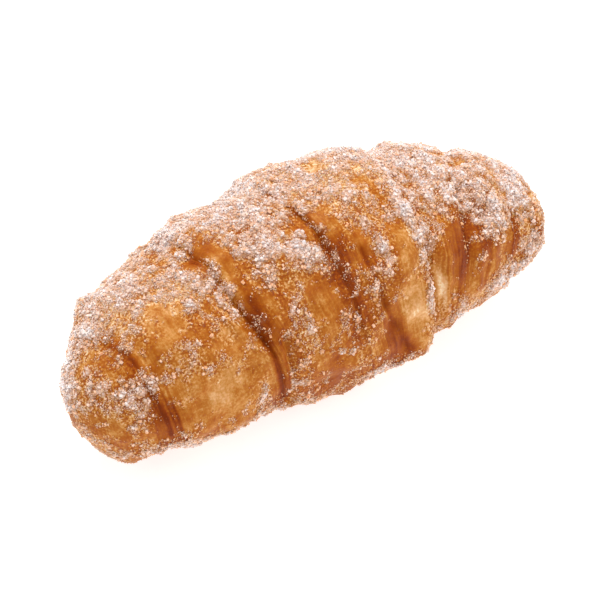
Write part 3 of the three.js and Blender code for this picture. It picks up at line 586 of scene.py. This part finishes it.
# Raw-looking patches and lines where the fat didn't reach the skin
CREAM_SPOTS = ((28.6, 12, 1.2, 5, 0.26), (29, 15, 3, 11, 0.18))
PALE_LINES = (
    (18.5, 34, 20.5, 4, 2.8, 0.09), (21.2, 4, 24, -30, 2.4, 0.17), (8, 30, 8, 22, 2.4, 0.1),
    (22.5, 62, 21.5, 20, 1.6, 0.09),
)
# Lines of dark fat between the layers, which also carry painted shade of the creases along the
# edges: place and turn of both ends, half width, amount
BROWN_AND_SHADE_LINES = (
    (-58.9, 32, -57.2, -4, 0.7, 0.32), (-57.3, 25, -55, -12, 0.6, 0.38),
    (-56.2, 22, -53.9, -12, 0.5, 0.22), (-61, 58, -59.6, 34, 1.2, 0.26),
    (-62.3, 96, -61, 58, 1.4, 0.3), (-26.6, 28, -22.4, -22, 0.7, 0.42),
    (-23.9, 24, -21.2, -20, 0.55, 0.42), (-26.5, 56, -26.6, 28, 1.3, 0.26),
    (-1.8, 56, -0.1, 34, 1.3, 0.36), (-0.1, 34, 2.2, 12, 0.8, 0.22), (6.3, 50, 7.6, 22, 0.6, 0.28),
    (7.6, 22, 11, 2, 0.6, 0.24), (11, 2, 17, -22, 1.4, 0.26), (8, 8, 13, -20, 0.8, 0.16),
    (42, 46, 36, 18, 1, 0.26), (36, 18, 33, -8, 0.6, 0.22), (39, 40, 34.5, 14, 0.6, 0.18),
    (31.4, 2, 31.2, -32, 0.6, 0.22), (26.2, 24, 25.8, -6, 0.5, 0.22),
    (33.2, -6, 33, -26, 0.5, 0.16), (58.6, 40, 55.4, 6, 1, 0.24), (61, 52, 58.6, 40, 0.6, 0.2),
    (66.4, 32, 65.8, 12, 0.6, 0.3), (68.6, 28, 68, 12, 0.6, 0.26), (27.4, 72, 28.4, 100, 0.6, 0.26),
    (46.5, 86, 42.5, 60, 0.7, 0.24), (-22, 104, -26, 62, 1, 0.12), (-2.6, 100, -1.6, 64, 0.9, 0.2),
    (12, -8, 22, -27, 1.2, 0.16),
)
# Browning from 0, raw, to 1, with painted light and shade in it: its mean, its mottles, the
# palest and brownest skin that the fat reached, and what grooves, the feet of the steps, lips and
# the top of the roll add or take away. Grooves add browner skin with painted shade, the feet of
# the steps add painted shade, and the top loses some as a painted highlight
BROWN_MEAN, PALEST, BROWNEST = 0.40, 0.19, 0.85
BROWN_MOTTLES = ((0.30, 17, 2.2), (0.24, 6, 8.8))
BROWN_AND_SHADE_IN_LINES, BROWN_AND_SHADE_IN_GROOVES, BROWN_AND_SHADE_BEHIND, SHADE_AT_FOOT = 0.75, 0.13, 0.16, 0.12
PALE_ON_LIPS, PALE_LIP_WIDE = 0.06, 1.1
PAINTED_LIGHT_TOP_RISE, PAINTED_LIGHT_TOP_FALL, PAINTED_LIGHT_ON_TOP = (60, 110), (135, 180), 0.12
browning_and_painted_light = BROWN_MEAN + mottles(base, BROWN_MOTTLES, PATTERN_MEAN)
browning_and_painted_light += spots(BROWN_SPOTS, row_x, row_turn)
browning_and_painted_light -= spots(PALE_AND_HIGHLIGHT_SPOTS, row_x, row_turn)
# Dark fat between the layers, with painted shade in the creases along the edges
browning_and_painted_light += BROWN_AND_SHADE_IN_LINES * creases(BROWN_AND_SHADE_LINES, row_x, row_turn)
# Painted shade: the grooves, behind most, and the feet of the steps are darkened where shade falls
# in them, over the browner skin of the grooves
browning_and_painted_light += (BROWN_AND_SHADE_IN_GROOVES + BROWN_AND_SHADE_BEHIND * behind) * in_groove
browning_and_painted_light += SHADE_AT_FOOT * wall_foot
browning_and_painted_light -= PALE_ON_LIPS * bell(lip_away, PALE_LIP_WIDE)
# Painted highlight: the top of the roll is paler where the light falls on it
browning_and_painted_light -= PAINTED_LIGHT_ON_TOP * between(row_turn, PAINTED_LIGHT_TOP_RISE, PAINTED_LIGHT_TOP_FALL)
browning_and_painted_light = np.clip(browning_and_painted_light, PALEST, BROWNEST)
browning_and_painted_light -= spots(CREAM_SPOTS, row_x, row_turn)
browning_and_painted_light -= creases(PALE_LINES, row_x, row_turn)
# Where the layers show as stripes: in the grooves and where the skin was stretched thin
STRIPED_SPOTS = (
    (-62, 70, 4, 20, 0.4), (-57, 4, 4, 16, 0.8), (-24, 6, 3.4, 22, 0.7), (-14, 30, 8, 14, 0.3),
    (1, 40, 4, 16, 0.5), (9, -8, 7, 16, 0.7), (28, 80, 3, 16, 0.6), (31, 0, 6, 26, 0.5),
    (39, 24, 5, 20, 0.4), (46, 5, 6, 14, 0.4), (57, 24, 4, 16, 0.7), (66.5, 20, 4, 12, 0.8),
)
STRIPED_LEAST, STRIPED_IN_GROOVES = 0.22, 0.5
STRIPED_PALE, STRIPES_FADE_AT, STRIPES_FADE_RANGE = 0.35, 0.1, 0.25
striped = STRIPED_LEAST + STRIPED_IN_GROOVES * in_groove + spots(STRIPED_SPOTS, row_x, row_turn)
browned = smooth((browning_and_painted_light - STRIPES_FADE_AT) / STRIPES_FADE_RANGE)
striped = np.clip(striped, 0, 1) * (STRIPED_PALE + (1 - STRIPED_PALE) * browned)


def with_poles(values):
    """A value for each point of the grid, and the first and last rows' means for both poles."""
    values = np.broadcast_to(values, row_x.shape)
    return np.concatenate([values.ravel(), [values[0].mean(), values[-1].mean()]])


quads = grid_faces(len(points), COLUMNS)
near_fan = fan_faces(np.arange(COLUMNS), len(dough_points) - 2, True)
last_row = (len(points) - 1) * COLUMNS + np.arange(COLUMNS)
far_fan = fan_faces(last_row, len(dough_points) - 1, False)
skin_values = {"browning_and_painted_light": browning_and_painted_light, "sugar_cover": cover, "layer": layer, "striped": striped,
               "speckled": speckled}
dough = add_mesh("fried_dough", dough_points, [quads, near_fan, far_fan],
                 {name: with_poles(values) for name, values in skin_values.items()}, True)


def linear(code):
    """An sRGB hex colour as linear red, green, blue and 1."""
    parts = [int(code[i : i + 2], 16) / 255 for i in (1, 3, 5)]
    return (*(c / 12.92 if c <= 0.04045 else ((c + 0.055) / 1.055) ** 2.4 for c in parts), 1.0)


def add_node(tree, kind, inputs=(), **settings):
    """Adds a node, applies its settings, and sets its inputs by name or number: to a value, or
    linked to a node's first output or to a socket."""
    node = tree.nodes.new(kind)
    for label, value in settings.items():
        setattr(node, label, value)
    for key, value in dict(inputs).items():
        if isinstance(value, bpy.types.Node):
            value = value.outputs[0]
        if isinstance(value, bpy.types.NodeSocket):
            tree.links.new(value, node.inputs[key])
        else:
            node.inputs[key].default_value = value
    return node


def add_material(name):
    """A material with a Principled shader joined to its output; returns it, tree and shader."""
    material = bpy.data.materials.new(name)
    material.use_nodes = True
    tree = material.node_tree
    return material, tree, tree.nodes["Principled BSDF"]


def set_ramp(node, stops):
    """Gives a colour ramp these stops of place and sRGB hex colour."""
    ramp = node.color_ramp
    while len(ramp.elements) < len(stops):
        ramp.elements.new(0.5)
    for element, (at, code) in zip(ramp.elements, stops):
        element.position = at
        element.color = linear(code)


def size_scale(size):
    """Scale of a noise texture on Object coordinates whose features are this many millimetres."""
    return 1 / (size * MM)


# Deep-fried yeast dough: a thin dry crust, browned most where it touched the fat longest. Its
# layers show as fine stripes that run with the wraps, and the fat leaves a soft satin gloss
dough_material, tree, shader = add_material("deep_fried_yeast_dough")
object_place = add_node(tree, "ShaderNodeTexCoord").outputs["Object"]
brown_and_painted_light, sugared, layer_place, striped_share, speck_share = (
    add_node(tree, "ShaderNodeAttribute", attribute_name=name).outputs["Fac"]
    for name in skin_values)
# The stripes are a noise stretched along the layers, with this width and length in millimetres
STRIPE_WIDTH, STRIPE_LENGTH = 1.1, 20
apart = add_node(tree, "ShaderNodeSeparateXYZ", {0: object_place})
across = add_node(tree, "ShaderNodeMath", {0: layer_place, 1: STRIPE_WIDTH}, operation="DIVIDE")
ahead, upward = (
    add_node(tree, "ShaderNodeMath", {0: way, 1: size_scale(STRIPE_LENGTH)}, operation="MULTIPLY")
    for way in (apart.outputs[1], apart.outputs[2]))
stripe_place = add_node(tree, "ShaderNodeCombineXYZ", {0: across, 1: ahead, 2: upward})
stripe = add_node(tree, "ShaderNodeTexNoise", {
    "Vector": stripe_place, "Scale": 1.0, "Detail": 3.0, "Roughness": 0.6})
# Blotches and flecks of the crust, and grains, lumps and shades of the sugar film: the size of
# each in millimetres, detail and roughness
NOISES = ((3.4, 3.0, 0.5), (0.7, 2.0, 0.6), (0.6, 3.0, 0.7), (1.3, 2.0, 0.6), (0.9, 2.0, 0.7))
blotch, fleck, grain, lump, shade = (
    add_node(tree, "ShaderNodeTexNoise", {
        "Vector": object_place, "Scale": size_scale(size), "Detail": detail, "Roughness": rough})
    for size, detail, rough in NOISES)
# Each of these is a start and patterns times their weights, some held between 0 and 1: where
# flecks show, the film of fine sugar, the thin glaze round it, and the film's own tone
SUMS = (
    (0.2, ((speck_share, 0.9),), True),
    (-4.2, ((sugared, 2.5), (grain, 3.8), (lump, 2.8)), True),
    (-2.4, ((sugared, 1.5), (fleck, 4.0)), True),
    (-0.5, ((sugared, 0.5), (shade, 1.3)), False),
)
sums = []
for total, terms, held in SUMS:
    for pattern, weight in terms:
        total = add_node(tree, "ShaderNodeMath", {
            0: pattern, 1: weight, 2: total}, operation="MULTIPLY_ADD")
    total.use_clamp = held
    sums.append(total)
crumbly, film, glaze, film_tone = sums
# Tone from 0, pale, to 1, darkest: the browning, with each pattern's swing round its middle,
# times the share at which the pattern shows there and its contrast
STRIPE_CONTRAST, BLOTCH_CONTRAST, FLECK_CONTRAST = 1.15, 0.6, 2.3
tone, swings = brown_and_painted_light, []
for pattern, share, contrast in (
        (stripe, striped_share, STRIPE_CONTRAST), (blotch, 1.0, BLOTCH_CONTRAST),
        (fleck, crumbly, FLECK_CONTRAST)):
    swing = add_node(tree, "ShaderNodeMath", {0: pattern, 1: PATTERN_MEAN}, operation="SUBTRACT")
    swing = add_node(tree, "ShaderNodeMath", {0: swing, 1: share}, operation="MULTIPLY")
    tone = add_node(tree, "ShaderNodeMath", {
        0: swing, 1: contrast, 2: tone}, operation="MULTIPLY_ADD")
    swings.append(swing)
stripe_swing, _, fleck_swing = swings
dough_ramp = add_node(tree, "ShaderNodeValToRGB", {"Fac": tone})
set_ramp(dough_ramp, (
    (0.0, "#EACDA6"), (0.07, "#DEAF7C"), (0.16, "#D59D67"), (0.27, "#C38745"), (0.38, "#B26C26"),
    (0.52, "#A25511"), (0.66, "#95460A"), (0.82, "#833606"), (1.0, "#702904"),
))
# Fine sugar that the fat has half dissolved: a dull pinkish white film between the crystals,
# with a thin peach glaze round it
FILM_MOST, GLAZE_MOST = 0.86, 0.25
film_share = add_node(tree, "ShaderNodeMath", {0: film, 1: FILM_MOST}, operation="MULTIPLY")
glaze_share = add_node(tree, "ShaderNodeMath", {0: glaze, 1: GLAZE_MOST}, operation="MULTIPLY")
glazed = add_node(tree, "ShaderNodeMix", {
    0: glaze_share, 6: dough_ramp, 7: linear("#DFA47C")}, data_type="RGBA")
film_ramp = add_node(tree, "ShaderNodeValToRGB", {"Fac": film_tone})
set_ramp(film_ramp, ((0.1, "#D98E4E"), (0.35, "#E3AB80"), (0.6, "#EBC5AE"), (0.9, "#F1DFD8")))
colour = add_node(tree, "ShaderNodeMix", {
    0: film_share, 6: glazed.outputs[2], 7: film_ramp}, data_type="RGBA")
tree.links.new(colour.outputs[2], shader.inputs["Base Color"])
# The bare dough has a satin gloss and the film is duller. The bump is up to half a millimetre
# deep: flecks in full, and this much of the stripes, the blotches and the film's grains
DOUGH_ROUGHNESS, FILM_DULLER = 0.40, 0.25
BUMP_DEPTH, STRIPE_BUMP, BLOTCH_BUMP, GRAIN_BUMP = 0.5, 0.8, 0.8, 1.2
rough = add_node(tree, "ShaderNodeMath", {
    0: film, 1: FILM_DULLER, 2: DOUGH_ROUGHNESS}, operation="MULTIPLY_ADD")
tree.links.new(rough.outputs[0], shader.inputs["Roughness"])
sugar_height = add_node(tree, "ShaderNodeMath", {0: grain, 1: film}, operation="MULTIPLY")
height = fleck_swing
for part, depth in ((stripe_swing, STRIPE_BUMP), (blotch, BLOTCH_BUMP), (sugar_height, GRAIN_BUMP)):
    height = add_node(tree, "ShaderNodeMath", {
        0: part, 1: depth, 2: height}, operation="MULTIPLY_ADD")
dough_bump = add_node(tree, "ShaderNodeBump", {
    "Height": height, "Strength": 0.8, "Distance": BUMP_DEPTH * MM})
tree.links.new(dough_bump.outputs[0], shader.inputs["Normal"])
shader.inputs["Subsurface Weight"].default_value = 0.15
shader.inputs["Subsurface Radius"].default_value = (1.0, 0.5, 0.25)
shader.inputs["Subsurface Scale"].default_value = 1.6 * MM
shader.inputs["Specular IOR Level"].default_value = 0.07
dough.data.materials.append(dough_material)
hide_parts("pastry")
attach(dough, "root")

# Sugar crystals
# Granulated sugar that the warm roll was tossed in: clear grains, broken at their corners, of
# 0.2 to 1 mm. They stick singly on the bare dough and pile up where the coat is thick

# The skin's cells between its points: corners, area, normal, how thick the coat is, how speckled,
# and whether the cell is clear of the floor by this much
CLEAR_OF_FLOOR = 0.4
beside = np.roll(points, -1, axis=1)
cell_corners = np.stack([points[:-1], points[1:], beside[1:], beside[:-1]], 2).reshape(-1, 4, 3)
cell_cross = np.cross(
    cell_corners[:, 2] - cell_corners[:, 0], cell_corners[:, 3] - cell_corners[:, 1])
cell_area = np.linalg.norm(cell_cross, axis=1) / 2
cell_normal = cell_cross / np.maximum(1e-9, np.linalg.norm(cell_cross, axis=1))[:, None]
cell_wish = ((cover[:-1] + cover[1:]) / 2).ravel()
cell_speckled = ((speckled[:-1] + speckled[1:]) / 2).ravel()
cell_clear = cell_corners[..., 2].min(1) > CLEAR_OF_FLOOR

# The forms of the grains: a box, a double pyramid and a three-sided chip, each about 1 wide
BOX_CORNERS = np.array([(x, y, z) for x in (-1, 1) for y in (-1, 1) for z in (-1, 1)]) / 2
BOX_FACES = np.array((
    (0, 1, 3, 2), (4, 6, 7, 5), (0, 4, 5, 1), (2, 3, 7, 6), (0, 2, 6, 4), (1, 5, 7, 3)))
DIAMOND_CORNERS = np.array((
    (1, 0, 0), (-1, 0, 0), (0, 1, 0), (0, -1, 0), (0, 0, 1), (0, 0, -1))) / 2
DIAMOND_FACES = np.array((
    (0, 2, 4), (2, 1, 4), (1, 3, 4), (3, 0, 4), (2, 0, 5), (1, 2, 5), (3, 1, 5), (0, 3, 5)))
CHIP_CORNERS = np.array(((1, 1, 1), (1, -1, -1), (-1, 1, -1), (-1, -1, 1))) / 2.6
CHIP_FACES = np.array(((0, 1, 2), (0, 3, 1), (0, 2, 3), (1, 3, 2)))


def random_turns(rng, count):
    """Random rotation matrices, from random unit quaternions."""
    quaternions = rng.normal(size=(4, count))
    w, x, y, z = quaternions / np.linalg.norm(quaternions, axis=0)
    return np.stack([
        np.stack([1 - 2 * (y * y + z * z), 2 * (x * y - z * w), 2 * (x * z + y * w)], -1),
        np.stack([2 * (x * y + z * w), 1 - 2 * (x * x + z * z), 2 * (y * z - x * w)], -1),
        np.stack([2 * (x * z - y * w), 2 * (y * z + x * w), 1 - 2 * (x * x + y * y)], -1),
    ], 1)


# How far a grain's length, width and thickness are scaled at random, and its corners moved
SQUASH_LEAST, SQUASH_MOST, CORNER_SHIFT = (0.85, 0.65, 0.5), (1.15, 1.0, 0.85), 0.16


def crystal_mesh(rng, middles, sizes, white, corners, faces):
    """Copies of one form at the middles: each scaled by its size, squashed and made uneven at
    random, and turned at random. Returns points, faces and how white each point is."""
    count = len(middles)
    squash = rng.uniform(SQUASH_LEAST, SQUASH_MOST, (count, 3))
    uneven = 1 + rng.uniform(-CORNER_SHIFT, CORNER_SHIFT, (count, len(corners), 3))
    local = corners * uneven * (squash * sizes[:, None])[:, None]
    turned = np.einsum("nij,nkj->nki", random_turns(rng, count), local)
    all_points = (turned + middles[:, None]).reshape(-1, 3)
    all_points[:, 2] = np.maximum(all_points[:, 2], 0)
    all_faces = faces + len(corners) * np.arange(count)[:, None, None]
    return all_points, all_faces.reshape(-1, faces.shape[1]), np.repeat(white, len(corners))


# More small grains than large ones, by this power, and how high a grain sits in its own sizes.
# How white a grain looks: at random, and whiter in a thick coat and high on its pile. Past the
# random part this is painted light: painted shade low in a pile, and on thin coats the dough's
# peach painted in as if seen through the clear sugar
SMALLER_OFTEN, SITS = 1.6, 0.15
WHITE_RANGE, WHITE_RANGE_THICK, WHITE_THICK, WHITE_LOW = 0.34, 0.20, 0.25, 0.9


def strew(rng, count, least, most, power, pile, single):
    """Random places on the dough, as many as count: likelier where the coat is thick, by this
    power, and lifted there by up to the pile's height, with a share that lies singly anywhere.
    Returns middles, sizes and how white."""
    chance = cell_area * cell_clear * (cell_wish**power + single * cell_speckled)
    cell = rng.choice(len(chance), count, p=chance / chance.sum())
    u, v = rng.random((2, count, 1))
    c = cell_corners[cell]
    place_in = (c[:, 0] * (1 - u) + c[:, 1] * u) * (1 - v) + (c[:, 3] * (1 - u) + c[:, 2] * u) * v
    sizes = least + (most - least) * rng.random(count) ** SMALLER_OFTEN
    up_pile = rng.random(count)
    thick = cell_wish[cell]
    lift = SITS * sizes + pile * up_pile * thick**2
    # Painted light: the coat's thickness and the height in the pile paint shade low down and the
    # dough seen through thin coats
    white = rng.random(count) * (WHITE_RANGE + WHITE_RANGE_THICK * thick)
    white += WHITE_THICK * thick * (WHITE_LOW + up_pile)
    middles = place_in + cell_normal[cell] * lift[:, None]
    middles[:, 2] = np.maximum(middles[:, 2], 0.5 * sizes)
    return middles, sizes, np.clip(white, 0, 1)


# Refined white sugar: clear crystals with flat faces. Their colour is partly painted light: a
# single grain gets the dough's peach painted in as if seen through it, grains low in a pile
# painted shade, and grains high on a thick pile a painted white. They sparkle
sugar_material, tree, shader = add_material("granulated_white_sugar")
tint = add_node(tree, "ShaderNodeAttribute", attribute_name="tint").outputs["Fac"]
tint_ramp = add_node(tree, "ShaderNodeValToRGB", {"Fac": tint})
set_ramp(tint_ramp, ((0.0, "#DB985B"), (0.3, "#EAB794"), (0.6, "#EFD3C6"), (0.9, "#F6E8E5")))
tree.links.new(tint_ramp.outputs[0], shader.inputs["Base Color"])
shader.inputs["Roughness"].default_value = 0.5
shader.inputs["Specular IOR Level"].default_value = 0.2
shader.inputs["IOR"].default_value = 1.54
shader.inputs["Subsurface Weight"].default_value = 0.6
shader.inputs["Subsurface Radius"].default_value = (1.0, 0.85, 0.75)
shader.inputs["Subsurface Scale"].default_value = 0.7 * MM

# Each kind: name, how many, least and greatest size, how much it keeps to the thick coat, how
# high it piles up, the share that lies singly, its form and the seed of its random places
KINDS = (
    ("coarse_sugar", 6000, 0.55, 0.9, 1.7, 0.3, 0.02, BOX_CORNERS, BOX_FACES, 21),
    ("medium_sugar", 20000, 0.48, 0.74, 1.5, 0.4, 0.05, DIAMOND_CORNERS, DIAMOND_FACES, 22),
    ("small_sugar", 24000, 0.38, 0.56, 1.3, 0.4, 0.06, DIAMOND_CORNERS, DIAMOND_FACES, 23),
    ("fine_sugar", 32000, 0.3, 0.46, 1.0, 0.3, 0.06, CHIP_CORNERS, CHIP_FACES, 24),
    ("sugar_dust", 24000, 0.2, 0.32, 0.9, 0.2, 0.05, CHIP_CORNERS, CHIP_FACES, 25),
)
for name, count, least, most, power, pile, single, corners, faces, seed in KINDS:
    rng = np.random.default_rng(seed)
    middles, sizes, white = strew(rng, count, least, most, power, pile, single)
    grain_points, grain_faces, grain_tint = crystal_mesh(rng, middles, sizes, white, corners, faces)
    grains = add_mesh(name, grain_points, [grain_faces], {"tint": grain_tint}, False)
    grains.data.materials.append(sugar_material)
    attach(grains, "root")

# Floor, light and camera
# The roll lies on a wide pale light table. A large soft light hangs above and behind it, a wider
# fill stands at its right front, and a long lens looks down on it from its left front
FLOOR_REACH = 6000
floor_corners = FLOOR_REACH * np.array(((-1, -1, 0), (1, -1, 0), (1, 1, 0), (-1, 1, 0)))
floor = add_mesh("floor", floor_corners, [np.array([[0, 1, 2, 3]])], {}, False)
# Opal acrylic, lit from below as for pictures of food: it keeps the shadow faint
floor_material, tree, shader = add_material("opal_acrylic_light_table")
shader.inputs["Base Color"].default_value = linear("#C8C8C8")
shader.inputs["Roughness"].default_value = 0.6
shader.inputs["Emission Color"].default_value = (1, 1, 1, 1)
shader.inputs["Emission Strength"].default_value = 0.75
floor.data.materials.append(floor_material)


def add_softbox(name, position, aim, width, power):
    """A square area light at a position in metres, turned to its aim."""
    data = bpy.data.lights.new(name, "AREA")
    data.size = width
    data.energy = power
    lamp = bpy.data.objects.new(name, data)
    lamp.location = position
    lamp.rotation_euler = (Vector(aim) - Vector(position)).to_track_quat("-Z", "Y").to_euler()
    bpy.context.scene.collection.objects.link(lamp)


# Position and aim in metres, width and watts
add_softbox("top_light", (0.0, 0.35, 0.95), (0, 0, 0.02), 0.55, 8.1)
add_softbox("front_fill", (0.75, -0.85, 0.75), (0, 0, 0.02), 0.9, 4.9)
world = bpy.data.worlds.new("studio")
world.use_nodes = True
background = world.node_tree.nodes["Background"]
background.inputs["Color"].default_value = (1, 1, 1, 1)
background.inputs["Strength"].default_value = 0.68
bpy.context.scene.world = world
bpy.context.scene.view_settings.view_transform = "Standard"

# The camera's aim is set off from the roll's middle as the photograph frames it
AZIMUTH, ELEVATION = math.radians(-34), math.radians(41)
CAMERA_AWAY = 0.8
SENSOR = 36.0
PIXELS_PER_MM, PICTURE = 3.73, 600
AIM_RIGHT, AIM_DOWN, AIM_HEIGHT = 0.64 * MM, 3.06 * MM, 25 * MM
back = np.array((math.sin(AZIMUTH) * math.cos(ELEVATION), -math.cos(AZIMUTH) * math.cos(ELEVATION),
                 math.sin(ELEVATION)))
right = np.array((math.cos(AZIMUTH), math.sin(AZIMUTH), 0))
up = np.cross(back, right)
aim = np.array((0, AXIS_BACK * MM, AIM_HEIGHT)) + right * AIM_RIGHT - up * AIM_DOWN
camera_data = bpy.data.cameras.new("camera")
camera_data.sensor_width = SENSOR
camera_data.lens = SENSOR * PIXELS_PER_MM * CAMERA_AWAY / MM / PICTURE
camera_data.clip_start = 0.05
camera = bpy.data.objects.new("camera", camera_data)
camera.location = aim + back * CAMERA_AWAY
camera.rotation_euler = (math.pi / 2 - ELEVATION, 0, AZIMUTH)
bpy.context.scene.collection.objects.link(camera)
bpy.context.scene.camera = camera
